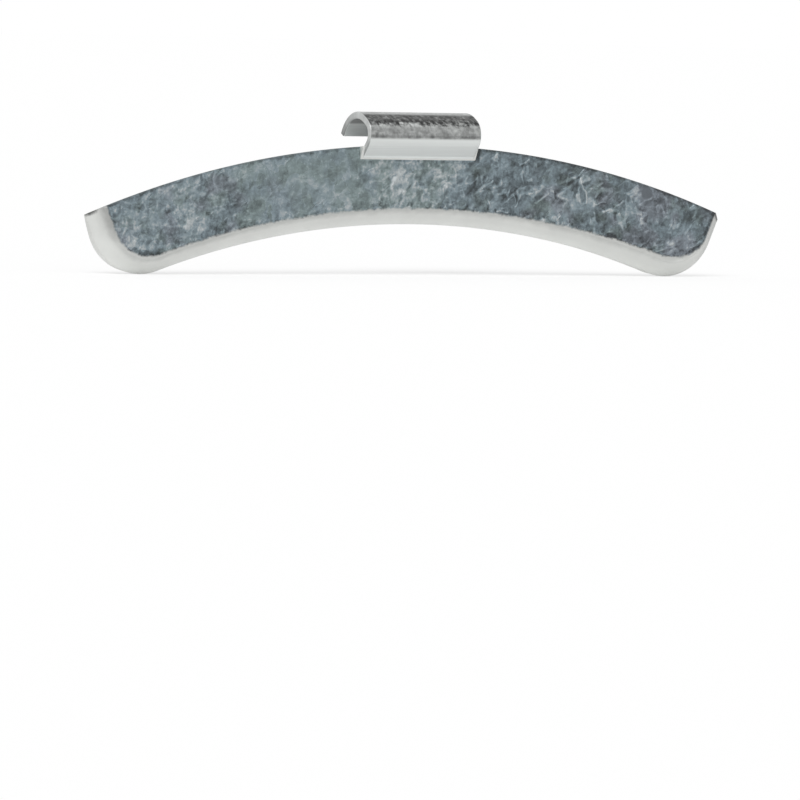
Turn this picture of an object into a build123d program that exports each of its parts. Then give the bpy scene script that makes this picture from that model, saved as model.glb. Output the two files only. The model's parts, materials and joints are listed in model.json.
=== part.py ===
"""Clip-on balance weight for a steel car or light-truck wheel.

A curved zinc-alloy casting follows the wheel's flange, and a bent strip of spring steel, cast
into it by its tail, hooks over the flange's rolled edge.

Frame: X along the weight, Y from the front face back towards the wheel, Z away from the wheel's
axis. The origin is on the axis of the hook's front bend, midway along the strip.
Lengths are in millimetres, angles in degrees.
"""

import os
from math import asin, cos, degrees, radians, sin, sqrt, tan

from build123d import *

# Cast weight
flange_radius = 205.0  # from the wheel's axis to the weight's top
foot_radius = 178.0  # curve of the foot, closer than the wheel's
face_length = 148.6  # along the top of the front face
face_height = 14.1  # at the middle
body_depth = 7.5
bevel_width = 3.3  # seen on the front face
bevel_depth = 4.0
corner_radius = 12.0  # lower corners, at the foot of the bevel
wall_draft = 5.0  # ends and foot, behind the bevel
top_land = 4.4  # straight part of the top, from the front face back
land_fall = 10.0  # of the top, down towards the back
seat_height = 10.5  # straight part of the rim seat
seat_tilt = 6.0  # rim seat, from the wheel's plane
edge_round = 0.5  # along the front face and the parting line

# Spring clip
strip_width = 27.0
strip_thickness = 1.6
hook_radius = 2.1  # inside the front bend, on the flange's rolled edge
leg_angle = 44.5  # front bend below the level of its axis
crown_angle = 64.0  # front bend above the level of its axis
crown_length = 1.3
nose_radius = 6.9  # inside the back bend
nose_angle = 88.0
lip_length = 0.3
root_radius = 1.2  # inside the bend where the leg turns down into the tail
tail_length = 7.0
tail_inset = 2.2  # from the front face to the tail
key_hole_diameter = 3.2
key_hole_pitch = 8.0
key_hole_count = 3
key_hole_drop = 3.0  # from the tail's end to the holes

# Seat of the clip in the weight
flange_gap = 0.1  # between the flange's rolled edge and the weight's top
hook_overhang = 3.7  # front bend before the front face
bed_reach = 1.4  # cast bed round the leg, before the front face at the top
bed_height = 3.3
bed_margin = 0.5  # beyond each side of the strip

weight_top = -(hook_radius + flange_gap)
weight_foot = weight_top - face_height - bevel_width
face_y = hook_overhang - hook_radius - strip_thickness
parting_y = face_y + bevel_depth
back_y = face_y + body_depth
wheel_axis_z = weight_top - flange_radius
wheel_axis = Axis((0, 0, wheel_axis_z), (0, 1, 0))
face_angle = asin(face_length / 2 / flange_radius)
end_angle = degrees(face_angle + bevel_width / (flange_radius - face_height / 2))
foot_rise = weight_foot - foot_radius - wheel_axis_z  # centre of the foot's curve above the wheel's axis
foot_offset = foot_rise * sin(radians(end_angle))
foot_end = foot_rise * cos(radians(end_angle)) + sqrt(foot_radius**2 - foot_offset**2)


def from_wheel(radius: float, angle: float) -> tuple[float, float]:
    """Point of the front view at a radius from the wheel's axis and an angle from the middle."""
    return radius * sin(radians(angle)), wheel_axis_z + radius * cos(radians(angle))


def turned(angle: float) -> Vector:
    """Unit vector of the side view, turned from straight back towards straight up."""
    return Vector(cos(radians(angle)), sin(radians(angle)))


# Strip of spring steel: its inner face drawn from the lip to the tail, then given its thickness
crown_rise = 90 - crown_angle
leg_fall = leg_angle - 90
crown_start = hook_radius * turned(180 - crown_angle)
nose_start = crown_start + crown_length * turned(crown_rise)
nose_axis = nose_start + nose_radius * turned(crown_rise - 90)
nose_end = nose_axis + nose_radius * turned(90 + crown_rise - nose_angle)
lip_end = nose_end + lip_length * turned(crown_rise - nose_angle)
leg_start = hook_radius * turned(180 + leg_angle)
root_outer = root_radius + strip_thickness
tail_y = face_y + tail_inset + strip_thickness
leg_length = (tail_y - leg_start.X - root_outer * (1 - cos(radians(leg_angle)))) / sin(radians(leg_angle))
leg_end = leg_start + leg_length * turned(leg_fall)
root_axis = leg_end + root_outer * turned(leg_fall - 90)
tail_start = root_axis + Vector(root_outer, 0)
tail_end = tail_start - Vector(0, tail_length)

with BuildPart() as rim_clip:
    with BuildSketch(Plane.YZ) as strip_profile:
        with BuildLine() as inner_face:
            Line(lip_end, nose_end)
            CenterArc(nose_axis, nose_radius, 90 + crown_rise - nose_angle, nose_angle)
            Line(nose_start, crown_start)
            CenterArc((0, 0), hook_radius, 180 - crown_angle, crown_angle + leg_angle)
            Line(leg_start, leg_end)
            CenterArc(root_axis, root_outer, 0, leg_angle)
            Line(tail_start, tail_end)
            offset(amount=strip_thickness, side=Side.RIGHT)
        make_face()
    extrude(amount=strip_width / 2, both=True)
    with BuildSketch(Plane.XZ.offset(-tail_y)) as key_holes:
        with Locations((0, tail_end.Y + key_hole_drop)):
            with GridLocations(key_hole_pitch, key_hole_pitch, key_hole_count, 1):
                Circle(key_hole_diameter / 2)
    extrude(amount=strip_thickness, mode=Mode.SUBTRACT)
rim_clip.part.label = "rim_clip"

# Casting: tapered both ways from the parting line, inside the turned form of the rim seat
section_foot = weight_foot - 2 * bevel_width  # turned section, clear below the weight
fine = 0.01  # when a face or an edge is picked by its place
seat_top = Vector(back_y - seat_height * tan(radians(seat_tilt)), weight_foot + seat_height)
land_end = Vector(face_y + top_land, weight_top - top_land * tan(radians(land_fall)))
bed_foot = weight_top - bed_height
bed_back = face_y + edge_round  # where the top's round ends

with BuildPart() as leg_bed:
    with BuildSketch(Plane.YZ) as bed_section:
        with BuildLine():
            bed_top = Line((bed_back, weight_top), (face_y - bed_reach, weight_top))
            Polyline(bed_top @ 1, (face_y, bed_foot), (bed_back, bed_foot), bed_top @ 0)
        make_face()
    extrude(amount=strip_width / 2 + bed_margin, both=True)
    with BuildSketch(Plane.XZ) as under_flange:
        with Locations((0, wheel_axis_z)):
            Circle(flange_radius)
    extrude(amount=body_depth, both=True, mode=Mode.INTERSECT)

with BuildPart() as cast_weight:
    with BuildSketch(Plane.XZ.offset(-face_y)) as outline:
        with BuildLine():
            foot_corners = (from_wheel(foot_end, a) for a in (-end_angle, end_angle))
            foot_arc = ThreePointArc(next(foot_corners), (0, weight_foot), next(foot_corners))
            top_arc = ThreePointArc(*(from_wheel(flange_radius, a) for a in (-end_angle, 0, end_angle)))
            Line(foot_arc @ 0, top_arc @ 0)
            Line(foot_arc @ 1, top_arc @ 1)
        make_face()
        fillet(outline.vertices().group_by(Axis.Y)[0], corner_radius)
    extrude(amount=-body_depth)
    front_face = cast_weight.faces().sort_by(Axis.Y)[0]
    top_edge = front_face.edges().sort_by(Axis.Z)[-1]
    chamfer(front_face.edges() - [top_edge], bevel_width, bevel_depth, reference=front_face)
    walls = cast_weight.faces().filter_by(lambda face: abs(face.normal_at().Y) < fine)
    draft(walls.sort_by(Axis.Z)[:-1], Plane.ZX.offset(parting_y), wall_draft)
    with BuildSketch(Plane.YZ) as section:
        with BuildLine():
            Polyline(land_end, (face_y, weight_top), (face_y, section_foot), (back_y, section_foot))
            Polyline((back_y, section_foot), (back_y, weight_foot), seat_top)
            TangentArc(seat_top, land_end, tangent=turned(90 + seat_tilt))
        make_face()
    revolve(axis=wheel_axis, mode=Mode.INTERSECT)
    front_face = cast_weight.faces().sort_by(Axis.Y)[0]
    fillet(front_face.edges(), edge_round)
    fillet(cast_weight.edges().filter_by_position(Axis.Y, parting_y - fine, parting_y + fine), edge_round)
    add(leg_bed.part)
    add(rim_clip.part, mode=Mode.SUBTRACT)
cast_weight.part.label = "cast_weight"

os.makedirs("parts", exist_ok=True)
for piece in (cast_weight, rim_clip):
    export_step(piece.part, f"parts/{piece.part.label}.step")
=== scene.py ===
"""Dresses a clip-on wheel balance weight: a mottled zinc casting and a bent spring clip.

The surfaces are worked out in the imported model's own frame: X along the weight, Y from the front face
back towards the wheel, Z away from the wheel's axis. Lengths are in metres and angles in radians, and
the materials count in millimetres.
"""

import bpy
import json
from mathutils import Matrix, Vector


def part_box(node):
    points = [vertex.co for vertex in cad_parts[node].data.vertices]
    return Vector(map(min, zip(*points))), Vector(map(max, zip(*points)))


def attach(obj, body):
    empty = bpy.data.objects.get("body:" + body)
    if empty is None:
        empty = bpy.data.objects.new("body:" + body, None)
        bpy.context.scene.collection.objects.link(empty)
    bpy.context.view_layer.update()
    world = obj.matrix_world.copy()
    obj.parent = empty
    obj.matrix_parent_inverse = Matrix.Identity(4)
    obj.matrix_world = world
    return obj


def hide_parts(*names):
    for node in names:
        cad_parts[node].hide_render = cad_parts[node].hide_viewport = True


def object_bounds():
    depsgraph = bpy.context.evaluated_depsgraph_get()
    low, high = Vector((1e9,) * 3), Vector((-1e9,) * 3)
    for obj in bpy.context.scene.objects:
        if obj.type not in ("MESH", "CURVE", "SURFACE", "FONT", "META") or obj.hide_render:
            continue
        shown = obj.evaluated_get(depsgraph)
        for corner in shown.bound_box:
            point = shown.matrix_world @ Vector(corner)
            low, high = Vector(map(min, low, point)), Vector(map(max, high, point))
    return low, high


bl_info = {
    "name": "Clip-on balance weight",
    "version": (1, 0, 0),
    "blender": (4, 5, 0),
    "location": "3D View > Sidebar > Balance weight",
    "description": "Builds the casting and the clip of a wheel balance weight, and a plain studio",
    "category": "Object",
}

import json
from functools import partialmethod
from math import asin, atan2, cos, pi, radians, sin, sqrt, tan
from types import SimpleNamespace

import bmesh
import bpy
import numpy as np
from mathutils import Matrix, Vector

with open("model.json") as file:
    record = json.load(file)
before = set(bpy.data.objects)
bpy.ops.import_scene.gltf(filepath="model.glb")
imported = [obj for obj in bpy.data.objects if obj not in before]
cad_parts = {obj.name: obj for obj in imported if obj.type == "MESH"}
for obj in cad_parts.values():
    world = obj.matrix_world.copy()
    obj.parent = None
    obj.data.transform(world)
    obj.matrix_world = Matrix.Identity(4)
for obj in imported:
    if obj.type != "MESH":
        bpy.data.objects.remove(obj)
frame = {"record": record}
cad_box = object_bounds()

MM = 0.001
BODY = "root"
WELD = 1e-7
PICTURE_GAMMA = 2.2
FLOW_TURNS = (18, 44, 105)
WEIGHT_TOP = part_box("cast_weight")[1].z
CLIP_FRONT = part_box("rim_clip")[0].y
HOOK = next(mount for mount in frame["record"]["mounts"] if mount["name"] == "flange_hook")
RAYS_THAT_SEE_WHITE = ("Is Camera Ray", "Is Glossy Ray", "Is Transmission Ray")


# Properties


def length(name, description, default):
    """A size in metres, shown in the scene's unit of length."""
    return bpy.props.FloatProperty(
        name=name, description=description, default=default, precision=4, subtype="DISTANCE", unit="LENGTH"
    )


def angle(name, description, degrees):
    """An angle, given in degrees and kept in radians."""
    return bpy.props.FloatProperty(
        name=name, description=description, default=radians(degrees), subtype="ANGLE", unit="ROTATION"
    )


def share(name, description, default, most=1.0):
    """A plain number from nought up."""
    return bpy.props.FloatProperty(name=name, description=description, default=default, min=0.0, max=most)


def colour(name, description, default):
    """A linear colour."""
    return bpy.props.FloatVectorProperty(
        name=name, description=description, default=default, size=3, min=0.0, max=2.0, subtype="COLOR"
    )


class CastingSettings(bpy.types.PropertyGroup):
    """Sizes and colours of the cast weight. A grey level is the one that a picture shows."""

    flange_radius: length("Flange radius", "From the wheel's axis to the weight's top", 205 * MM)
    foot_radius: length("Foot radius", "Curve of the foot, closer than the wheel's", 178 * MM)
    face_length: length("Face length", "Along the top of the front face", 148.6 * MM)
    face_height: length("Face height", "From the top to the bevel, at the middle", 14.1 * MM)
    body_depth: length("Depth", "From the front face to the foot of the rim seat", 7.5 * MM)
    bevel_width: length("Bevel width", "As seen from the front", 3.3 * MM)
    bevel_depth: length("Bevel depth", "From the front face to the parting line", 4 * MM)
    corner_radius: length("Corner radius", "Of the lower corners, at the foot of the bevel", 12 * MM)
    wall_draft: angle("Wall draft", "Taper of the ends and foot behind the parting line", 5.0)
    top_land: length("Top land", "Straight part of the top", 4.4 * MM)
    land_fall: angle("Land fall", "Of the top, down towards the back", 10.0)
    seat_height: length("Seat height", "Straight part of the rim seat", 10.5 * MM)
    seat_tilt: angle("Seat tilt", "Of the rim seat, from the wheel's plane", 6.0)
    edge_round: length("Edge round", "Along the front face and the parting line", 0.5 * MM)
    hook_overhang: length("Hook overhang", "Front bend of the clip before the front face", 3.7 * MM)
    bed_reach: length("Bed reach", "Cast bed of the clip before the front face, at the top", 1.4 * MM)
    bed_height: length("Bed height", "From the top to where the bed runs out", 3.3 * MM)
    bed_margin: length("Bed margin", "Beyond each side of the strip", 0.5 * MM)
    unevenness: length("Unevenness", "Depth of the hollows on the front face", 0.07 * MM)
    relief: length("Relief", "Depth of the bump on the front face", 0.5 * MM)
    pin_place: length("Pin mark", "From the middle to the ejector pin's mark", 58 * MM)
    pin_below: length("Pin mark below", "From the top to the pin mark's middle", 1.9 * MM)
    pin_radius: length("Pin mark radius", "Of the ejector pin's mark", 1.7 * MM)
    tip_place: length("Tips", "From the middle along the top to the stained tips", 78.8 * MM)
    calm_place: length("Calm stretch", "Middle of the smooth stretch of the face", -28 * MM)
    light_place: length("Light stretch", "Middle of the lighter stretch below the clip", -3 * MM)
    warm_place: length("Warm stretch", "Middle of the greener stretch of the face", -8 * MM)
    cool_place: length("Cool stretch", "Middle of the bluer stretch beside the clip", 19 * MM)
    flow_place: length("Flow marks", "Where the light flow marks grow dense", 22 * MM)
    face_level: share("Face level", "Grey level of the front face", 0.47)
    dull_level: share("Dull level", "Grey level of the top and the rim seat", 0.44)
    skin_level: share("Skin level", "Grey level of the bevel and the ends", 0.835)
    blue_tint: colour("Blue tint", "Cooler parts of the front face", (0.77, 0.98, 1.09))
    green_tint: colour("Green tint", "Warmer parts of the front face", (0.79, 1.00, 1.01))
    violet_tint: colour("Violet tint", "Patches near the ends of the front face", (0.84, 0.965, 1.09))
    pale_tint: colour("Pale tint", "Light flecks and strokes of the front face", (0.93, 1.0, 1.02))
    skin_tint: colour("Skin tint", "Of the bevel and the ends", (0.985, 1.0, 0.97))


class ClipSettings(bpy.types.PropertyGroup):
    """Sizes and colours of the spring clip."""

    strip_width: length("Strip width", "Along the weight", HOOK["dims"]["length_mm"] * MM)
    strip_thickness: length("Strip thickness", "Of the steel", 1.6 * MM)
    hook_radius: length("Hook radius", "Inside the front bend", HOOK["dims"]["r_mm"] * MM)
    leg_angle: angle("Leg angle", "Front bend below the level of its axis", 44.5)
    crown_angle: angle("Crown angle", "Front bend above the level of its axis", 64.0)
    crown_length: length("Crown length", "Straight part between the two bends", 1.3 * MM)
    nose_radius: length("Nose radius", "Inside the back bend", 6.9 * MM)
    nose_angle: angle("Nose angle", "Turn of the back bend", 88.0)
    lip_length: length("Lip length", "Straight part at the open end", 0.3 * MM)
    root_radius: length("Root radius", "Inside the bend into the tail", 1.2 * MM)
    tail_inset: length("Tail inset", "From the front face to the tail", 2.2 * MM)
    tail_length: length("Tail length", "Part that is cast into the weight", 7.0 * MM)
    edge_round: length("Edge round", "Of the sheared edges", 0.35 * MM)
    end_round: length("End round", "Of the cut ends", 0.1 * MM)
    relief: length("Relief", "Depth of the bump", 0.04 * MM)
    # The bright level is a painted reflection of the white floor on the leg.
    bright_level: share("Bright level", "Grey level of the polished leg", 0.84)
    # The plain level is a painted reflection on the front bend.
    plain_level: share("Plain level", "Grey level of the front bend", 0.565)
    # The dark level is a painted reflection of dark surroundings over the crown, with mottled streaks.
    dark_level: share("Dark level", "Grey level of the scale on the crown", 0.27)
    inside_level: share("Inside level", "Grey level of the inside", 0.975)
    steel_tint: colour("Steel tint", "Of the steel", (0.985, 1.015, 1.0))


class StageSettings(bpy.types.PropertyGroup):
    """The studio: camera, light and floor."""

    camera_turn: angle("Camera turn", "Of the camera to the weight's left end", 27.0)
    camera_rise: angle("Camera rise", "Above the level of the weight's top", 1.0)
    camera_roll: angle("Camera roll", "Clockwise, as the picture shows it", 1.3)
    camera_distance: length("Camera distance", "To the middle of the front face's top edge", 1.485)
    lens: share("Lens", "Focal length in millimetres, on a 36 mm sensor", 307.8, 1000.0)
    aim_below: length("Aim below", "From that middle down to the picture's centre", 55.4 * MM)
    aim_left: length("Aim left", "From that middle left to the picture's centre", 4.0 * MM)
    sky: share("Sky", "Level of the light from all round", 0.62, 10.0)
    sun: share("Lamp", "Strength of the soft lamp", 1.9, 20.0)
    sun_turn: angle("Lamp turn", "Of the lamp to the weight's left end", 38.0)
    sun_rise: angle("Lamp rise", "Above the floor", 48.0)
    sun_width: angle("Lamp width", "Angle that the soft lamp fills", 40.0)
    floor_reach: length("Floor reach", "From the middle to the floor's edge", 20.0)
    floor_glow: share("Floor glow", "Part of the floor's white that no shadow dims", 0.62)
    floor_white: colour("Floor", "Colour of the floor", (0.93, 0.93, 0.93))


class WeightSettings(bpy.types.PropertyGroup):
    """Everything about the balance weight and its studio."""

    casting: bpy.props.PointerProperty(type=CastingSettings)
    clip: bpy.props.PointerProperty(type=ClipSettings)
    stage: bpy.props.PointerProperty(type=StageSettings)


def face_place(casting):
    """Y of the front face, set back from the clip's front bend."""
    return CLIP_FRONT + casting.hook_overhang


# Surfaces


def lattice_noise(x, y, seed, lattice=64):
    """Smooth noise from about -1 to 1: random slopes at whole points, blended by a fifth-order curve."""
    slope = np.random.default_rng(seed).uniform(0, 2 * pi, (lattice, lattice))
    left, low = np.floor(x).astype(int), np.floor(y).astype(int)
    u, v = x - left, y - low

    def corner(i, j):
        turn = slope[(left + i) % lattice, (low + j) % lattice]
        return np.cos(turn) * (u - i) + np.sin(turn) * (v - j)

    blend_u = u**3 * (u * (u * 6 - 15) + 10)
    blend_v = v**3 * (v * (v * 6 - 15) + 10)
    below = corner(0, 0) * (1 - blend_u) + corner(1, 0) * blend_u
    above = corner(0, 1) * (1 - blend_u) + corner(1, 1) * blend_u
    return 1.5 * (below * (1 - blend_v) + above * blend_v)


def rounded(points, radius, steps=9):
    """An open line through points, each inner corner replaced by an arc that touches both its sides."""
    points = np.asarray(points, float)
    ways = np.diff(points, axis=0)
    ways /= np.linalg.norm(ways, axis=1, keepdims=True)
    line = [points[:1]]
    for corner, way_in, way_out in zip(points[1:-1], ways[:-1], ways[1:]):
        turn = np.arccos(way_in @ way_out)
        side = (way_out - way_in * np.cos(turn)) / np.sin(turn)
        start = corner - radius * np.tan(turn / 2) * way_in
        along = np.linspace(0, turn, steps)[:, None]
        line.append(start + radius * (np.sin(along) * way_in + (1 - np.cos(along)) * side))
    return np.concatenate([*line, points[-1:]])


def ring_mesh(name, points, attributes, sharp):
    """A closed mesh from a grid of points: each row is a ring, and points that fall together are welded."""
    rows, columns = points.shape[:2]
    index = np.arange(rows * columns).reshape(rows, columns)
    after = np.roll(index, -1, axis=1)
    quads = np.stack([index[:-1], after[:-1], after[1:], index[1:]], axis=-1).reshape(-1, 4)
    mesh = bpy.data.meshes.new(name)
    mesh.vertices.add(rows * columns)
    mesh.vertices.foreach_set("co", points.astype(np.float32).ravel())
    mesh.loops.add(quads.size)
    mesh.loops.foreach_set("vertex_index", quads.astype(np.int32).ravel())
    mesh.polygons.add(len(quads))
    mesh.polygons.foreach_set("loop_start", np.arange(0, quads.size, 4, dtype=np.int32))
    mesh.update(calc_edges=True)
    for label, values in attributes.items():
        layer = mesh.attributes.new(label, "FLOAT", "POINT")
        layer.data.foreach_set("value", np.broadcast_to(values, (rows, columns)).astype(np.float32).ravel())
    work = bmesh.new()
    work.from_mesh(mesh)
    bmesh.ops.remove_doubles(work, verts=work.verts, dist=WELD)
    bmesh.ops.recalc_face_normals(work, faces=work.faces)
    closed = all(edge.is_manifold for edge in work.edges)
    work.to_mesh(mesh)
    work.free()
    if not closed:
        raise RuntimeError(f"{name} isn't closed")
    mesh.polygons.foreach_set("use_smooth", np.ones(len(mesh.polygons), bool))
    mesh.set_sharp_from_angle(angle=sharp)
    return mesh


def add_piece(name, mesh, material, node):
    """Puts a mesh into the scene as a piece that rides on the object and stands for a node of the frame."""
    piece = bpy.data.objects.new(name, mesh)
    bpy.context.scene.collection.objects.link(piece)
    mesh.materials.append(material)
    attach(piece, BODY)
    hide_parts(node)
    return piece


class CastingForm:
    """The casting's surface.

    Its outline in the front view is a ring of samples: along the top from right to left, down the left
    end, round its corner, along the foot, round the right corner and up the right end. Lines run from
    an arc in the middle of the front face out to that ring, back over the bevel and the wall, and in
    again over the rim seat. X and Z are taken from the wheel's axis.
    """

    LONG, END, CORNER = 440, 18, 48
    FACE_ROWS, SIDE_ROWS, SEAT_ROWS = 30, 38, 12
    NEAR_EDGE = (0, 0.002, 0.006, 0.012, 0.019, 0.03)
    SEAT_EDGE = 0.99
    SEAT_STEPS = 8
    CREASE = radians(35)
    WAVES = ((0.5, 9 * MM, 5 * MM, 11), (0.35, 3.1 * MM, 2.3 * MM, 12), (0.25, 1.3 * MM, 1.1 * MM, 13))

    def __init__(self, size):
        self.size = size
        self.foot = size.flange_radius - size.face_height - size.bevel_width
        self.foot_rise = self.foot - size.foot_radius
        middle = size.flange_radius - size.face_height / 2
        self.end = asin(size.face_length / 2 / size.flange_radius) + size.bevel_width / middle
        self.set_corner()
        self.set_profiles()
        long = np.linspace(-1, 1, self.LONG, endpoint=False)
        end, corner = (np.linspace(0, 1, count, endpoint=False) for count in (self.END, self.CORNER))
        parts = [-long, 1 - end, corner, long, 1 - corner, end]
        stops = np.cumsum([len(part) for part in parts])
        self.parts = [slice(stop - len(part), stop) for part, stop in zip(parts, stops)]
        self.place = np.concatenate(parts)
        still = np.ones(self.END + self.CORNER)
        self.spine_share = np.concatenate([-long, -still, long, still])

    def set_corner(self):
        """Centre of the right corner's arc, which touches the end and the foot, and where they stop."""
        radius, rise = self.size.corner_radius, self.foot_rise
        aside = radius - rise * sin(self.end)
        self.end_start = rise * cos(self.end) + sqrt((self.size.foot_radius + radius) ** 2 - aside**2)
        self.corner_x = self.end_start * sin(self.end) - radius * cos(self.end)
        self.corner_z = self.end_start * cos(self.end) + radius * sin(self.end)
        self.foot_end = atan2(self.corner_x, self.corner_z - rise)
        self.spine = sqrt(self.corner_x**2 + self.corner_z**2)
        self.spine_end = atan2(self.corner_x, self.corner_z)

    def set_profiles(self):
        """Depths and insets of the bevel with the wall behind it, and of the top, with round corners."""
        size = self.size
        run, bevel = 2 * size.body_depth, size.bevel_width
        wall_end = (run * tan(size.wall_draft), size.bevel_depth + run)
        side = [(2 * bevel, 0), (bevel, 0), (0, size.bevel_depth), wall_end]
        top = [(2 * bevel, 0), (0, 0), (run * tan(size.land_fall), run)]
        lines = [rounded(corners, size.edge_round)[1:, ::-1] for corners in (side, top)]
        self.side_profile, self.top_profile = (line.T for line in lines)

    def ring(self, depth):
        """The outline at a depth for each sample: two arcs, straight ends and round corners."""
        size = self.size
        inset = np.interp(depth, *self.side_profile)
        top = size.flange_radius - np.interp(depth, *self.top_profile)
        x, z = np.empty_like(depth), np.empty_like(depth)
        top_part, left_end, left_corner, foot, right_corner, right_end = self.parts
        turn = self.place[top_part] * (self.end - np.arcsin(inset[..., top_part] / top[..., top_part]))
        x[..., top_part] = top[..., top_part] * np.sin(turn)
        z[..., top_part] = top[..., top_part] * np.cos(turn)
        turn = self.place[foot] * self.foot_end
        radius = size.foot_radius + inset[..., foot]
        x[..., foot], z[..., foot] = radius * np.sin(turn), self.foot_rise + radius * np.cos(turn)
        for side, part in ((-1, left_end), (1, right_end)):
            edge = np.sqrt(top[..., part] ** 2 - inset[..., part] ** 2)
            along = self.end_start + self.place[part] * (edge - self.end_start)
            x[..., part] = side * (along * sin(self.end) - inset[..., part] * cos(self.end))
            z[..., part] = along * cos(self.end) + inset[..., part] * sin(self.end)
        for side, part in ((-1, left_corner), (1, right_corner)):
            turn = self.end + pi / 2 + self.place[part] * (self.foot_end + pi / 2 - self.end)
            radius = size.corner_radius - inset[..., part]
            x[..., part] = side * (self.corner_x + radius * np.sin(turn))
            z[..., part] = self.corner_z + radius * np.cos(turn)
        return x, z

    def seat_depth(self, radius):
        """Depth of the rim seat at a radius from the wheel's axis: a cone, then an arc to the top land."""
        size = self.size
        seat_end = size.body_depth - size.seat_height * tan(size.seat_tilt)
        seat_top = np.array([seat_end, self.foot + size.seat_height])
        land_end = np.array([size.top_land, size.flange_radius - size.top_land * tan(size.land_fall)])
        inwards = np.array([-cos(size.seat_tilt), -sin(size.seat_tilt)])
        across = land_end - seat_top
        arc = across @ across / (2 * across @ inwards)
        centre = seat_top + arc * inwards
        cone = size.body_depth - np.maximum(radius - self.foot, 0) * tan(size.seat_tilt)
        curve = centre[0] + np.sqrt(np.maximum(arc**2 - (radius - centre[1]) ** 2, 0))
        return np.where(radius < seat_top[1], cone, curve)

    def edge_distance(self, x, z):
        """Distance inwards from the front face's edge along the foot, the round corners and the ends."""
        size = self.size
        from_end = np.hypot(x, z) * np.sin(self.end - np.arctan2(np.abs(x), z)) - size.bevel_width
        from_foot = np.hypot(x, z - self.foot_rise) - size.foot_radius - size.bevel_width
        corner = size.corner_radius - size.bevel_width
        past_end, past_foot = corner - from_end, corner - from_foot
        outside = np.hypot(np.maximum(past_end, 0), np.maximum(past_foot, 0))
        return corner - outside - np.minimum(np.maximum(past_end, past_foot), 0)

    def hollows(self, along, below_top):
        """Shallow hollows left by the flow of metal, in three sizes of noise, and a pin's round mark."""
        size = self.size
        noises = (part * lattice_noise(along / x, below_top / z, seed) for part, x, z, seed in self.WAVES)
        waves = sum(noises)
        from_pin = np.hypot(along - size.pin_place, below_top - size.pin_below) / size.pin_radius
        return np.clip(0.5 + 0.5 * waves, 0, 1) + np.clip(4 - 4 * from_pin, 0, 1)

    def grid(self):
        """All rows of the surface, from the front face's middle line over the side to the seat's."""
        size = self.size
        turn = self.spine_share * self.spine_end
        spine = self.spine * np.stack([np.sin(turn), np.cos(turn)])
        end_depth = np.full_like(turn, size.top_land)
        for _ in range(self.SEAT_STEPS):
            end_depth = self.seat_depth(np.hypot(*self.ring(end_depth)))

        def outwards(shares, depth):
            return spine[:, None] + shares[:, None] * (np.stack(self.ring(depth)) - spine)[:, None]

        x, z = outwards(np.linspace(0, 1, self.FACE_ROWS, endpoint=False), 0 * turn)
        rows = [(x, z, 0 * x)]
        *near, last = self.NEAR_EDGE
        shares = np.concatenate([near, np.linspace(last, 1, self.SIDE_ROWS - len(near))])
        depth = shares[:, None] * end_depth
        rows.append((*self.ring(depth), depth))
        x, z = outwards(np.append(self.SEAT_EDGE, np.linspace(1, 0, self.SEAT_ROWS)[1:]), end_depth)
        rows.append((x, z, self.seat_depth(np.hypot(x, z))))
        return [np.concatenate(column) for column in zip(*rows)]

    def mesh(self, name):
        """The whole casting, with its hollows, and how far each point lies from the face's edges."""
        size = self.size
        x, z, depth = self.grid()
        along, below_top = np.arctan2(x, z) * size.flange_radius, size.flange_radius - np.hypot(x, z)
        in_front = np.arange(len(x))[:, None] < self.FACE_ROWS + self.SIDE_ROWS
        on_face = np.clip(1 - depth / (0.5 * size.edge_round), 0, 1) * in_front
        y = face_place(size) + depth + size.unevenness * self.hollows(along, below_top) * on_face
        points = np.stack([x, y, z + WEIGHT_TOP - size.flange_radius], axis=-1)
        attributes = {
            "along": along / MM,
            "from_edge": self.edge_distance(x, z) / MM,
            "below_top": below_top / MM,
            "depth": depth / MM,
            "on_seat": ~in_front,
        }
        return ring_mesh(name, points, attributes, self.CREASE)


class BedForm:
    """The cast bed round the clip's leg: a section with a sloping front, carried along the weight's top."""

    ACROSS = 61
    CORNER_SHARE = 0.3
    END_SHARE = 0.93
    ON_BEVEL = 2.0
    CREASE = radians(35)

    def __init__(self, size, strip_width):
        self.size = size
        self.half = strip_width / 2 + size.bed_margin
        self.corner = self.CORNER_SHARE * size.edge_round

    def section(self):
        """A closed ring of Y and of the height above the bed's foot, with rounded corners."""
        size = self.size
        front, high, back = -size.bed_reach, size.bed_height, size.edge_round
        corners = [(back, high / 2), (back, high), (front, high), (0, 0), (back, 0), (back, high / 2)]
        return rounded(corners, self.corner)[:-1].T

    def mesh(self, name):
        """The whole bed, its top bent to the flange's curve and its ends closed on the section's middle."""
        size = self.size
        y, rise = self.section()
        edge, end = self.half - self.corner, np.array([0, self.END_SHARE])
        x = np.linspace(-edge, edge, self.ACROSS)
        x = np.concatenate([[-self.half] * 2, x, [self.half] * 2])[:, None]
        grown = np.concatenate([end, np.ones(self.ACROSS), end[::-1]])[:, None]
        y, rise = (np.mean(side) + grown * (side - np.mean(side)) for side in (y, rise))
        drop = size.flange_radius - np.sqrt(size.flange_radius**2 - x**2)
        z = WEIGHT_TOP - size.bed_height + rise - drop * rise / size.bed_height
        points = np.stack([x + 0 * y, face_place(size) + y, z], axis=-1)
        attributes = {
            "along": x / MM,
            "from_edge": -self.ON_BEVEL,
            "below_top": size.bed_height / MM,
            "depth": self.ON_BEVEL,
        }
        return ring_mesh(name, points, attributes, self.CREASE)


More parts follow.
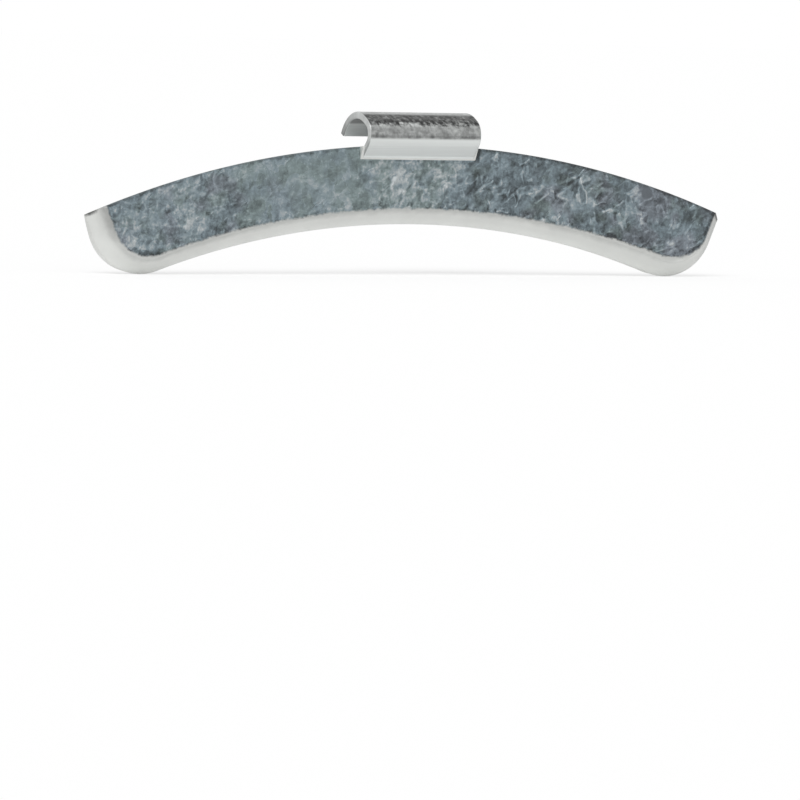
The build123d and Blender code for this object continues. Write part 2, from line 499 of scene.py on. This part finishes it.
class ClipForm:
    """The clip's surface: a flat section with rounded edges carried along a line that bends.

    The line's heading turns evenly in each bend, and its points are the sum of small steps along it.
    """

    STEPS, ACROSS, EDGE = 220, 40, 6
    FINE_STEPS = 6000
    NEAR_END = np.array([0, 0.05, 0.2, 0.45, 0.7])
    CREASE = radians(50)

    def __init__(self, size, front):
        self.size = size
        half = size.strip_thickness / 2
        hook, nose, root = size.hook_radius + half, size.nose_radius + half, size.root_radius + half
        turned = size.crown_angle + size.leg_angle
        leg_drop = size.leg_angle - pi / 2
        leg_start = hook * cos(pi + size.leg_angle)
        tail_y = front + size.tail_inset + half
        leg = (tail_y - leg_start - root * (1 - cos(size.leg_angle))) / cos(leg_drop)
        lengths = [size.lip_length, nose * size.nose_angle, size.crown_length, hook * turned]
        lengths += [leg, root * size.leg_angle, size.tail_length]
        self.stations = np.concatenate([[0], np.cumsum(lengths)])
        _, _, self.nose_end, self.crown_end, self.hook_end, *_ = self.stations
        self.turns = np.cumsum([0, 0, size.nose_angle, 0, turned, 0, -size.leg_angle, 0])
        self.first_heading = pi + (pi / 2 - size.crown_angle) - size.nose_angle
        self.hook_start = hook * np.array([cos(pi - size.crown_angle), sin(pi - size.crown_angle)])

    def line(self):
        """Distance along the strip, middle points in Y and Z, and the heading, from the lip to the tail."""
        last = self.stations[-1]
        fine = np.union1d(np.linspace(0, last, self.FINE_STEPS), self.stations)
        heading = self.first_heading + np.interp(fine, self.stations, self.turns)
        middle = (heading[1:] + heading[:-1]) / 2
        steps = np.diff(fine)[:, None] * np.stack([np.cos(middle), np.sin(middle)], axis=1)
        path = np.concatenate([[[0, 0]], np.cumsum(steps, axis=0)])
        path += self.hook_start - path[np.searchsorted(fine, self.crown_end)]
        end = self.size.end_round
        near = end * self.NEAR_END
        along = np.concatenate([near, np.linspace(end, last - end, self.STEPS), last - near[::-1]])
        return along, *(np.interp(along, fine, values) for values in (*path.T, heading))

    def section(self):
        """The strip's section as a ring: places across the width, and outwards from the steel's middle."""
        size = self.size
        half, wide, edge = size.strip_thickness / 2, size.strip_width / 2, size.edge_round
        flat = np.linspace(-1, 1, self.ACROSS) * (wide - edge)
        bend = np.linspace(0, pi / 2, self.EDGE + 2)[1:-1]
        side = np.linspace(1, -1, self.EDGE)[1:-1] * (half - edge)
        corner_x, corner_n = (wide - edge) + edge * np.sin(bend), (half - edge) + edge * np.cos(bend)
        right_x = np.concatenate([corner_x, np.full(len(side), wide), corner_x[::-1]])
        right_n = np.concatenate([corner_n, side, -corner_n[::-1]])
        across = np.concatenate([flat, right_x, -flat, -right_x])
        outwards = np.concatenate([np.full_like(flat, half), right_n, np.full_like(flat, -half), -right_n])
        return across, outwards

    def mesh(self, name):
        """The whole strip, thinned to its middle line over the last part of each end."""
        size = self.size
        half, edge, end = size.strip_thickness / 2, size.edge_round, size.end_round
        along, y, z, heading = (values[:, None] for values in self.line())
        across, outwards = self.section()
        from_end = np.minimum(np.minimum(along, self.stations[-1] - along) / end, 1)
        corner = (half - end + end * np.sqrt(1 - (1 - from_end) ** 2)) * (from_end > 0)
        reach = outwards * corner / half
        y, z = y + reach * np.sin(heading), z - reach * np.cos(heading)
        points = np.stack([across + 0 * reach, y, z], axis=-1)
        attributes = {
            "strip_along": along / MM,
            "outside": np.clip(outwards / half, -1, 1),
            "cut": np.abs(across) >= size.strip_width / 2 - 0.5 * edge,
        }
        return ring_mesh(name, points, attributes, self.CREASE)


# Materials


class Wire:
    """An output of a node tree. Operators on wires and numbers add Math nodes."""

    def __init__(self, tree, socket=None):
        self.tree = tree
        self.socket = socket

    def node(self, kind, settings=None, values=None, out=0):
        """Adds a node with its settings, fills its inputs with numbers or wires, and gives one output."""
        made = self.tree.nodes.new(kind)
        for label, setting in (settings or {}).items():
            if label == "stops":
                fill_ramp(made.color_ramp, setting)
            else:
                setattr(made, label, setting)
        for label, value in (values or {}).items():
            if isinstance(value, Wire):
                self.tree.links.new(value.socket, made.inputs[label])
            else:
                made.inputs[label].default_value = value
        return Wire(self.tree, made.outputs[out] if made.outputs else None)

    def maths(self, operation, other=0.0):
        """A Math node on this wire and another or a number."""
        return self.node("ShaderNodeMath", {"operation": operation}, {0: self, 1: other})

    def swapped(self, operation, other):
        """A Math node on a number and this wire."""
        return self.node("ShaderNodeMath", {"operation": operation}, {0: other, 1: self})

    __add__ = partialmethod(maths, "ADD")
    __radd__ = partialmethod(swapped, "ADD")
    __sub__ = partialmethod(maths, "SUBTRACT")
    __rsub__ = partialmethod(swapped, "SUBTRACT")
    __mul__ = partialmethod(maths, "MULTIPLY")
    __rmul__ = partialmethod(swapped, "MULTIPLY")
    __pow__ = partialmethod(maths, "POWER")
    __abs__ = partialmethod(maths, "ABSOLUTE")
    least = partialmethod(maths, "MINIMUM")
    most = partialmethod(maths, "MAXIMUM")

    def ramp(self, low, high):
        """Nought at low, one at high, and a smooth curve between them."""
        settings = {"interpolation_type": "SMOOTHSTEP"}
        return self.node("ShaderNodeMapRange", settings, {"Value": self, "From Min": low, "From Max": high})

    def fall(self, low, high):
        """One at low, nought at high, and a smooth curve between them."""
        return 1 - self.ramp(low, high)

    def near(self, place, full, gone):
        """One within a distance of a place, falling to nought at a larger one."""
        return abs(self - place).fall(full, gone)

    def swing(self, reach):
        """Noise as a swing to both sides of nought."""
        return (self - 0.5) * reach

    def slant(self, side):
        """Distance from two others at right angles."""
        return (self**2.0 + side**2.0) ** 0.5

    def within(self, low, high):
        """A level held between two others."""
        return self.most(low).least(high)

    def bands(self, stops):
        """A level that runs through the given pairs of value and level."""
        first, last = stops[0][0], stops[-1][0]
        values = {"Value": self, "From Min": first, "From Max": last}
        share_along = self.node("ShaderNodeMapRange", None, values)
        places = [((place - first) / (last - first), level) for place, level in stops]
        return self.node("ShaderNodeValToRGB", {"stops": places}, {"Fac": share_along})

    def blend(self, start, end):
        """A level between two others, with this wire as the share of the second."""
        return self.node("ShaderNodeMix", {"data_type": "FLOAT"}, {0: self, 2: start, 3: end})

    def mix(self, start, end):
        """A colour between two others, with this wire as the share of the second."""
        start, end = (each if isinstance(each, Wire) else (*each, 1) for each in (start, end))
        return self.node("ShaderNodeMix", {"data_type": "RGBA"}, {0: self, 6: start, 7: end}, 2)

    def shown(self, tint):
        """A tint at this grey level, as a picture shows it."""
        values = {0: tint, "Scale": self**PICTURE_GAMMA}
        return self.node("ShaderNodeVectorMath", {"operation": "SCALE"}, values)

    def part(self, axis):
        """One axis of a place."""
        return self.node("ShaderNodeSeparateXYZ", None, {0: self}, axis)

    def vector(self, operation, *others):
        """A Vector Math node on this wire and others or vectors."""
        values = dict(enumerate((self, *others)))
        return self.node("ShaderNodeVectorMath", {"operation": operation}, values)

    def moved(self, x, y, z):
        """A place moved by a step."""
        return self.vector("ADD", (x, y, z))

    def stretched(self, x, y, z):
        """A place with its three axes scaled apart."""
        return self.vector("MULTIPLY", (x, y, z))

    def turned(self, axis, turn):
        """A place turned about an axis."""
        settings = {"rotation_type": f"{axis}_AXIS"}
        return self.node("ShaderNodeVectorRotate", settings, {"Vector": self, "Angle": turn})

    def bent(self, scale, reach):
        """A place that is moved to and fro by noise."""
        values = {"Vector": self, "Scale": scale, "Detail": 1.0}
        way = self.node("ShaderNodeTexNoise", None, values, "Color").moved(-0.5, -0.5, -0.5)
        return way.vector("MULTIPLY_ADD", (reach, reach, reach), self)

    def noise(self, scale, detail=4.0, roughness=0.55, distortion=0.0):
        """Noise of about half on average, with this wire as its place."""
        values = {"Vector": self, "Scale": scale, "Detail": detail}
        values |= {"Roughness": roughness, "Distortion": distortion}
        return self.node("ShaderNodeTexNoise", None, values, "Fac")

    def flakes(self, scale):
        """A level for each cell of a broken pattern, from nought to one."""
        cells = self.node("ShaderNodeTexVoronoi", None, {"Vector": self, "Scale": scale}, "Color")
        return self.node("ShaderNodeSeparateColor", None, {0: cells}, "Red")

    def from_crease(self, scale):
        """Distance to the nearest border of that pattern, as a share of a cell."""
        settings = {"feature": "DISTANCE_TO_EDGE"}
        return self.node("ShaderNodeTexVoronoi", settings, {"Vector": self, "Scale": scale}, "Distance")


def fill_ramp(ramp, stops):
    """Sets a colour ramp to the given places and grey levels."""
    while len(ramp.elements) < len(stops):
        ramp.elements.new(1.0)
    for element, (place, level) in zip(ramp.elements, stops):
        element.position = place
        element.color = (level, level, level, 1.0)


def new_material(name):
    """An empty material and its node tree as a wire."""
    material = bpy.data.materials.new(name)
    material.use_nodes = True
    material.node_tree.nodes.clear()
    return material, Wire(material.node_tree)


def carried(wire, *labels):
    """Values that a mesh carries, as wires."""
    return [wire.node("ShaderNodeAttribute", {"attribute_name": label}, None, "Fac") for label in labels]


def millimetres(wire):
    """The place on the object."""
    return wire.node("ShaderNodeTexCoord", out="Object").stretched(1 / MM, 1 / MM, 1 / MM)


def finish_material(wire, height, depth, **sockets):
    """Adds the shader with its sockets, a bump of the given depth in metres, and the output node."""
    bump = {"Strength": 0.5, "Distance": depth, "Height": height}
    bump = wire.node("ShaderNodeBump", None, bump, "Normal")
    values = {label.replace("_", " ").title(): value for label, value in sockets.items()}
    shader = wire.node("ShaderNodeBsdfPrincipled", None, {**values, "Normal": bump}, "BSDF")
    wire.node("ShaderNodeOutputMaterial", None, {"Surface": shader})


def flow_marks(place, scale, wide, low):
    """Curved strokes, used as relief and as colour, where the light line is a painted highlight and its one
    dark side a painted shadow: level lines of noise, kept where a second noise is high.
    """
    wavy = place.bent(1.1 * scale, 0.5 / scale)

    def stroke(turn):
        field = wavy.turned("Y", radians(turn)).stretched(0.45, 1, 1.5)
        from_line = field.noise(scale, 1, 0.4) - 0.5
        light = abs(from_line).fall(0.35 * wide, wide)
        # The dark side is a painted shadow beside the stroke.
        dark = from_line.near(1.9 * wide, 0.4 * wide, 1.1 * wide)
        kept = place.turned("Y", radians(turn + 35)).noise(0.8 * scale, 1).ramp(low, low + 0.06)
        return (light - dark * 0.55) * kept

    return sum(stroke(turn) for turn in FLOW_TURNS)


def face_textures(place):
    """Patterns of the front face: clouds down to grain, crumpled relief with painted light and shade,
    flakes, plates and flow marks.
    """
    grain = place.noise(1.9, 2, 0.6)
    crumple, beside = (spot.noise(0.6, 2, 0.45, 0.5) for spot in (place, place.moved(0.35, 0, -0.35)))
    broken = place.bent(0.5, 1.6)
    return SimpleNamespace(
        clouds=place.noise(0.10, 2),
        patches=place.noise(0.32, 4, 0.6, 0.5),
        flecks=place.noise(0.85, 3, 0.6, 0.3),
        grain=grain,
        crumple=crumple,
        # Painted light and shade: lighter where the crumple noise rises towards the lower right, as if lit
        # from the upper left.
        fold_light_and_shade=beside - crumple,
        flakes=place.bent(1.2, 0.8).flakes(1.0),
        plates=broken.flakes(0.42),
        creases=broken.from_crease(0.42).fall(0.01, 0.05) * grain.ramp(0.45, 0.6),
        strokes=flow_marks(place, 0.26, 0.065, 0.55),
        fine_strokes=flow_marks(place, 0.55, 0.075, 0.57),
    )


def face_zones(size, bed_half, along, from_edge, below_top, look):
    """Regions of the front face as shares, from places along it and distances to its edges."""
    flow, bed_foot, pin_radius = size.flow_place / MM, size.bed_height / MM, size.pin_radius / MM
    from_pin = (along - size.pin_place / MM).slant(below_top - size.pin_below / MM)
    return SimpleNamespace(
        calm=along.near(size.calm_place / MM, 9, 22),
        light=along.near(size.light_place / MM, 9, 20),
        cool=along.near(size.cool_place / MM, 6, 15),
        flowing=along.ramp(flow - 18, flow + 4),
        left=along.fall(-68, -46),
        right=along.ramp(48, 64),
        ends=abs(along).ramp(25, 60),
        rim=(from_edge + look.patches.swing(4)).fall(0.2, 2.6),
        edge_line=(from_edge + look.grain.swing(1)).near(0.45, 0.05, 0.6) * look.flecks.ramp(0.38, 0.6),
        top_line=(below_top + look.patches.swing(2)).fall(0.35, 0.85) * look.flecks.ramp(0.3, 0.5),
        # Darker edges at the upper right end.
        darkened=along.ramp(66, 71) * below_top.fall(8, 12),
        # Painted shade in the nook beside the clip's bed, and a painted shadow line under the bed.
        shade_beside_bed=along.near(bed_half + 0.5, 0.4, 1) * below_top.fall(bed_foot - 0.9, bed_foot + 0.3),
        shade_under_bed=abs(along).fall(bed_half - 0.5, bed_half + 0.5) * below_top.near(bed_foot + 0.2, 0.1, 0.5),
        pin=(from_pin + look.patches.swing(2.5)).fall(0.6 * pin_radius, 1.1 * pin_radius),
    )


def face_level(size, look, zone):
    """Grey level of the front face: textures that are livelier at its rim, painted light and shade on the
    crumpled relief and flow marks, dark edges, painted shade beside and under the clip's bed, and a pin
    mark.
    """
    lively = 1 - zone.calm * 0.55 - zone.flowing * 0.2 + zone.rim * 0.6
    level = size.face_level + look.patches.swing(0.36) + look.clouds.swing(0.42 - zone.calm * 0.2)
    level = level + look.plates.swing(0.07) + look.creases * (0.02 + zone.calm * 0.03)
    level = level + zone.calm * 0.025 - zone.flowing * 0.055 - zone.rim * 0.035
    level = level + zone.left * 0.025 + zone.light * 0.04
    # Painted light and shade of the crumpled relief, with flecks and grain.
    level = level + (look.fold_light_and_shade * 0.32 + look.flecks.swing(0.24) + look.grain.swing(0.12)) * lively
    level = level + (look.flakes.ramp(0.84, 0.92) * 0.05 - look.flakes.fall(0.08, 0.16) * 0.06) * lively
    # Flow marks, as a painted highlight with a painted shadow on one side.
    marks = look.strokes * (0.05 + (zone.flowing - zone.right * 0.5) * 0.08) + look.fine_strokes * 0.045
    level = level + marks * (1 - zone.calm * 0.85)
    level = level - zone.edge_line * (0.05 + zone.ends * 0.07 + zone.darkened * 0.08) - zone.top_line * 0.13
    # Painted shade beside the clip's bed and a painted shadow under it.
    level = level - zone.shade_beside_bed * 0.3 - zone.shade_under_bed * 0.05
    return (zone.pin * 0.85).blend(level, size.face_level - 0.10)


def face_tint(size, place, along, level, look, zone):
    """Tint of the front face: green to blue in broad clouds, violet at the ends, pale where it is light."""
    from_warm = abs(along - size.warm_place / MM)
    bluer = place.noise(0.16, 2).swing(3) + look.plates.swing(0.7) + 0.35
    bluer = bluer + from_warm.ramp(8, 62) * 0.4 + zone.cool * 0.6
    violet = place.turned("Y", radians(60)).noise(0.13, 2) + along.ramp(45, 62) * 0.1
    violet = violet.ramp(0.50, 0.66) * from_warm.ramp(15, 50)
    tint = bluer.ramp(0, 1).mix(size.green_tint, size.blue_tint)
    tint = violet.mix(tint, size.violet_tint)
    return level.ramp(0.50, 0.66).mix(tint, size.pale_tint)


def skin_colour(size, place, along, from_edge, below_top, depth, look):
    """Bright skin of the bevel and the ends, partly a painted reflection of the white floor: painted shade
    beside the face and at both ends, painted light from the floor lower down, darker at the upper tips.
    """
    outwards = from_edge * -1 + look.patches.swing(1)
    left_end = along.fall(-76, -70) * below_top.fall(4, 10)
    right_end = place.part("X").ramp(70, 76)
    parting = size.bevel_depth / MM
    # The skin level is partly a painted reflection of the white floor.
    level = size.skin_level + look.clouds.swing(0.06) + look.patches.swing(0.03)
    # Painted shade beside the face, and painted shade at the right end, which faces away from the lamp.
    level = level - outwards.fall(-0.3, 1.3) * 0.11 - right_end * 0.11
    # Painted shade at the left end beside the face.
    level = level - left_end * (0.02 + outwards.fall(0, 2.8) * 0.1)
    # Painted light from the floor on the lower bevel, growing towards the parting line.
    level = level + depth.ramp(1.5, parting) * below_top.ramp(9, 13) * 0.04
    tip_along = (abs(along) - size.tip_place / MM) * (1 - right_end * 0.7)
    from_tip = tip_along.slant(below_top * 1.3) + look.grain.swing(0.8)
    tip = from_tip.fall(0.8, 1.9) * depth.fall(parting - 0.1, parting + 0.4)
    return (level - tip * 0.45).shown(tuple(size.skin_tint))


def dull_colour(size, look):
    """Dull grey of the top and the rim seat."""
    level = size.dull_level + look.clouds.swing(0.3) + look.patches.swing(0.4) + look.grain.swing(0.3)
    return level.shown(look.clouds.ramp(0.35, 0.65).mix(size.green_tint, size.pale_tint))


def zinc_material(size, bed_half):
    """As-cast zinc: a mottled face with a ragged edge, a bright skin on the bevel that is partly a painted
    reflection of the white floor, a dull top and seat.
    """
    material, wire = new_material("as_cast_zinc")
    place = millimetres(wire)
    labels = ("along", "from_edge", "below_top", "depth", "on_seat")
    along, from_edge, below_top, depth, on_seat = carried(wire, *labels)
    lower_right = along.ramp(48, 82) * below_top.ramp(7, 11)
    from_edge = from_edge - lower_right * 0.75
    look = face_textures(place)
    zone = face_zones(size, bed_half, along, from_edge, below_top, look)
    level = face_level(size, look, zone)
    face = level.within(0.22, 0.76).shown(face_tint(size, place, along, level, look, zone))
    strokes = look.strokes * (0.2 + zone.flowing * 0.5) + look.fine_strokes * 0.25
    relief = (look.crumple * 0.5 + strokes + look.flecks * 0.3) * (1 - zone.pin)

    plain = SimpleNamespace(
        clouds=place.noise(0.13, 2), patches=place.noise(0.5, 4, 0.6), grain=place.noise(1.5, 3, 0.65)
    )
    skin = skin_colour(size, place, along, from_edge, below_top, depth, plain)
    creep = 0.25 + zone.ends * 0.3 - along.ramp(70, 74) * 0.7
    inwards = (from_edge - creep + plain.grain.swing(0.6) + plain.patches.swing(1.2)).ramp(-0.3, 0.35)
    behind = depth.ramp(0.25, 0.6)
    base = inwards.most(on_seat).mix(skin, behind.mix(face, dull_colour(size, plain)))
    roughness = 0.38 + plain.patches * 0.25
    finish_material(wire, relief * inwards, size.relief, base_color=base, metallic=0.35, roughness=roughness)
    return material


def strip_textures(flat):
    """Patterns of the strip, on places across and along it, from blotches to fine drawn lines."""
    return SimpleNamespace(
        blotches=flat.stretched(0.38, 1, 1).noise(0.9, 5, 0.6, 0.4),
        streaks=flat.bent(0.4, 1.2).turned("Z", radians(-62)).stretched(0.35, 1.1, 1).noise(1.0, 2, 0.6),
        drawn=flat.stretched(0.05, 2.5, 1).noise(1.0, 3, 0.6),
        specks=flat.bent(0.9, 0.7).noise(1.2, 3, 0.6),
        smears=flat.stretched(1, 0.2, 1).noise(0.3, 2),
    )


def outer_level(size, spots, strip_along, look):
    """Grey level of the strip's outer side, painted reflections: a dark one with mottled streaks over the
    crown, a plain one on the bend and a bright one of the white floor on the leg.
    """
    top, crown, front, foot = spots.top, spots.crown, spots.front, spots.foot
    plain, dark = size.plain_level, size.dark_level
    wavy = strip_along + look.blotches.swing(1.5) + look.streaks.swing(0.6) + look.specks.swing(1.2)
    # Painted reflections along the strip: plain, then dark over the crown, then plain again.
    scale = ((top + 2.2, plain + 0.06), (top + 3.1, dark), (crown + 0.7, dark), (crown + 1.7, plain))
    crown_band = strip_along.ramp(top + 2.2, top + 3.0) * strip_along.fall(crown + 0.8, crown + 2.2)
    level = wavy.bands(scale) + look.streaks.swing(0.1 + crown_band * 0.6) + look.blotches.swing(0.5)
    level = level + look.specks.swing(0.3 + crown_band * 0.6)
    # A dark broken line where the bend meets the bright leg.
    dark_line = (strip_along + look.blotches.swing(0.3)).near(front + 0.35, 0.1, 0.4)
    smudges = strip_along.near(front + 0.15, 0.2, 0.7) * look.blotches.ramp(0.35, 0.6)
    smudges = smudges * look.smears.ramp(0.5, 0.62)
    # The bright leg is a painted reflection of the white floor, with drawn lines.
    reflecting = strip_along.ramp(front + 0.4, front + 0.95)
    level = reflecting.blend(level - dark_line * 0.08 - smudges * 0.2, size.bright_level + look.drawn.swing(0.06))
    # A painted highlight along the leg's foot.
    return level + strip_along.ramp(foot - 0.2, foot + 0.2) * 0.09


def inner_level(size, spots, strip_along, look):
    """Grey level of the strip's inner side: painted light at the lip and painted shade below the top."""
    top, lit = spots.top, size.inside_level
    # Painted light at the lip, falling to painted shade below the top.
    stops = ((0, lit), (top - 6.5, lit - 0.06), (top - 4.6, lit - 0.12), (top - 3.8, 0.5), (top, 0.45))
    return strip_along.bands(stops) + look.drawn.swing(0.1)


def sheared_level(spots, strip_along, look):
    """Grey level of the strip's sheared edges, lightest round the front bend."""
    top, front = spots.top, spots.front
    stops = ((0, 0.44), (top - 3, 0.66), (top + 1, 0.74), (front, 0.74), (front + 2, 0.66))
    return strip_along.bands(stops) + look.blotches.swing(0.2)


def steel_material(size, spots):
    """Spring steel, its outer side painted with reflections: a bright leg from the white floor, a dull front
    bend, and a dark streaked band over the crown.
    """
    material, wire = new_material("spring_steel")
    strip_along, outside, cut = carried(wire, "strip_along", "outside", "cut")
    across = millimetres(wire).part("X")
    look = strip_textures(wire.node("ShaderNodeCombineXYZ", None, {"X": across, "Y": strip_along}))
    outer = outside.ramp(-0.4, 0.4)
    inner = inner_level(size, spots, strip_along, look)
    level = outer.blend(inner, outer_level(size, spots, strip_along, look))
    level = (cut * 0.9).blend(level, sheared_level(spots, strip_along, look))
    base = level.within(0.15, 0.96).shown(tuple(size.steel_tint))
    height = look.drawn * 0.4 + look.blotches * 0.4 + look.streaks * 0.3
    roughness = 0.32 + look.blotches * 0.2
    finish_material(wire, height, size.relief, base_color=base, metallic=outer * 0.5, roughness=roughness)
    return material


def white_rays(wire):
    """One for each ray that should meet plain white: from the camera, in gloss and through glass."""
    camera, gloss, glass = (wire.node("ShaderNodeLightPath", out=label) for label in RAYS_THAT_SEE_WHITE)
    return camera.most(gloss).most(glass)


def floor_material(stage):
    """Pale floor: white where it is seen, and still dimmed where the object shades it."""
    material, wire = new_material("pale_floor")
    matt = wire.node("ShaderNodeBsdfDiffuse", None, {"Color": (*stage.floor_white, 1)})
    glow = wire.node("ShaderNodeEmission", None, {"Color": (1, 1, 1, 1), "Strength": 1.0})
    both = wire.node("ShaderNodeMixShader", None, {0: white_rays(wire) * stage.floor_glow, 1: matt, 2: glow})
    wire.node("ShaderNodeOutputMaterial", None, {"Surface": both})
    return material


# Operators


class OBJECT_OT_balance_casting(bpy.types.Operator):
    """Builds the curved zinc casting with its bevels, corners, rim seat, clip bed and as-cast finish"""

    bl_idname = "object.balance_casting"
    bl_label = "Cast weight"

    def execute(self, context):
        settings = context.scene.balance_weight
        size = settings.casting
        body, bed = CastingForm(size), BedForm(size, settings.clip.strip_width)
        zinc = zinc_material(size, bed.half / MM)
        for name, form in (("cast_body", body), ("clip_bed", bed)):
            add_piece(name, form.mesh(name), zinc, "cast_weight")
        return {"FINISHED"}


class OBJECT_OT_balance_clip(bpy.types.Operator):
    """Builds the bent strip of spring steel that hooks over the flange"""

    bl_idname = "object.balance_clip"
    bl_label = "Spring clip"

    def execute(self, context):
        settings = context.scene.balance_weight
        size = settings.clip
        form = ClipForm(size, face_place(settings.casting))
        steel = steel_material(size, self.spots(size, form))
        add_piece("spring_clip", form.mesh("spring_clip"), steel, "rim_clip")
        return {"FINISHED"}

    def spots(self, size, form):
        """Along the strip in millimetres: its top, the crown's end, the bend's front and the leg's foot."""
        half = size.strip_thickness / 2
        top = form.nose_end - (size.nose_radius + half) * (pi / 2 - size.crown_angle)
        front = form.crown_end + (size.hook_radius + half) * size.crown_angle
        foot = form.hook_end + (size.hook_radius + half) / tan(size.leg_angle)
        return SimpleNamespace(top=top / MM, crown=form.crown_end / MM, front=front / MM, foot=foot / MM)


def direction(turn, rise):
    """Unit vector from the object towards its front, turned to its left end and raised above the floor."""
    return Vector((-sin(turn) * cos(rise), -cos(turn) * cos(rise), sin(rise)))


def facing(away, up):
    """Axes of a camera that looks against one direction, with another one upwards in its picture."""
    across = up.cross(away).normalized()
    return Matrix((across, away.cross(across), away)).transposed()


class OBJECT_OT_balance_stage(bpy.types.Operator):
    """Lays the pale floor and sets the soft light and the camera"""

    bl_idname = "object.balance_stage"
    bl_label = "Studio"

    def execute(self, context):
        settings = context.scene.balance_weight
        context.scene.view_settings.view_transform = "Standard"
        self.lay_floor(context, settings.stage)
        self.set_light(context, settings.stage)
        self.set_camera(context, settings.stage, Vector((0, face_place(settings.casting), WEIGHT_TOP)))
        return {"FINISHED"}

    def lay_floor(self, context, stage):
        """A flat sheet, level with the lowest point of the object."""
        reach = np.array([-1, 1]) * stage.floor_reach
        x, y = np.meshgrid(reach, reach)
        corners = np.stack([x, y, np.full_like(x, cad_box[0].z)], axis=-1).reshape(-1, 3)
        mesh = bpy.data.meshes.new("pale_floor")
        mesh.from_pydata(corners, [], [(0, 1, 3, 2)])
        mesh.materials.append(floor_material(stage))
        floor = bpy.data.objects.new("pale_floor", mesh)
        context.scene.collection.objects.link(floor)

    def set_light(self, context, stage):
        """Even light from all round, white where it is seen, and one wide soft lamp from the upper left."""
        world = bpy.data.worlds.new("studio")
        world.use_nodes = True
        world.node_tree.nodes.clear()
        wire = Wire(world.node_tree)
        level = white_rays(wire) * (1 - stage.sky) + stage.sky
        sky = wire.node("ShaderNodeBackground", None, {"Color": (1, 1, 1, 1), "Strength": level})
        wire.node("ShaderNodeOutputWorld", None, {"Surface": sky})
        context.scene.world = world
        lamp = bpy.data.objects.new("soft_lamp", bpy.data.lights.new("soft_lamp", "SUN"))
        lamp.data.energy = stage.sun
        lamp.data.angle = stage.sun_width
        lamp.rotation_euler = direction(stage.sun_turn, stage.sun_rise).to_track_quat("Z", "Y").to_euler()
        context.scene.collection.objects.link(lamp)

    def set_camera(self, context, stage, target):
        """Looks at a point below the object, from its left and a little above, with the picture rolled."""
        back = direction(stage.camera_turn, stage.camera_rise)
        turned = facing(back, Vector((0, 0, 1))) @ Matrix.Rotation(stage.camera_roll, 3, "Z")
        place = target + back * stage.camera_distance
        aim = target + turned @ Vector((-stage.aim_left, -stage.aim_below, 0))
        axes = facing((place - aim).normalized(), turned.col[1])
        camera = bpy.data.objects.new("camera", bpy.data.cameras.new("camera"))
        camera.data.lens = stage.lens
        camera.data.clip_end = 2 * stage.floor_reach
        camera.matrix_world = Matrix.Translation(place) @ axes.to_4x4()
        context.scene.collection.objects.link(camera)
        context.scene.camera = camera


class VIEW3D_PT_balance_weight(bpy.types.Panel):
    """Lists the pieces of the balance weight and its studio"""

    bl_label = "Balance weight"
    bl_space_type = "VIEW_3D"
    bl_region_type = "UI"
    bl_category = "Balance weight"

    def draw(self, context):
        settings = context.scene.balance_weight
        for operator, group in zip(OPERATORS, (settings.casting, settings.clip, settings.stage)):
            box = self.layout.box()
            box.operator(operator.bl_idname)
            for label in group.__annotations__:
                box.prop(group, label)


OPERATORS = (OBJECT_OT_balance_casting, OBJECT_OT_balance_clip, OBJECT_OT_balance_stage)
SETTINGS = (CastingSettings, ClipSettings, StageSettings, WeightSettings)
CLASSES = (*SETTINGS, *OPERATORS, VIEW3D_PT_balance_weight)


def register():
    for made in CLASSES:
        bpy.utils.register_class(made)
    bpy.types.Scene.balance_weight = bpy.props.PointerProperty(type=WeightSettings)


def unregister():
    del bpy.types.Scene.balance_weight
    for made in reversed(CLASSES):
        bpy.utils.unregister_class(made)


def main():
    """Registers the add-on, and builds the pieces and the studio."""
    register()
    bpy.ops.object.balance_casting()
    bpy.ops.object.balance_clip()
    bpy.ops.object.balance_stage()


if __name__ == "__main__":
    main()
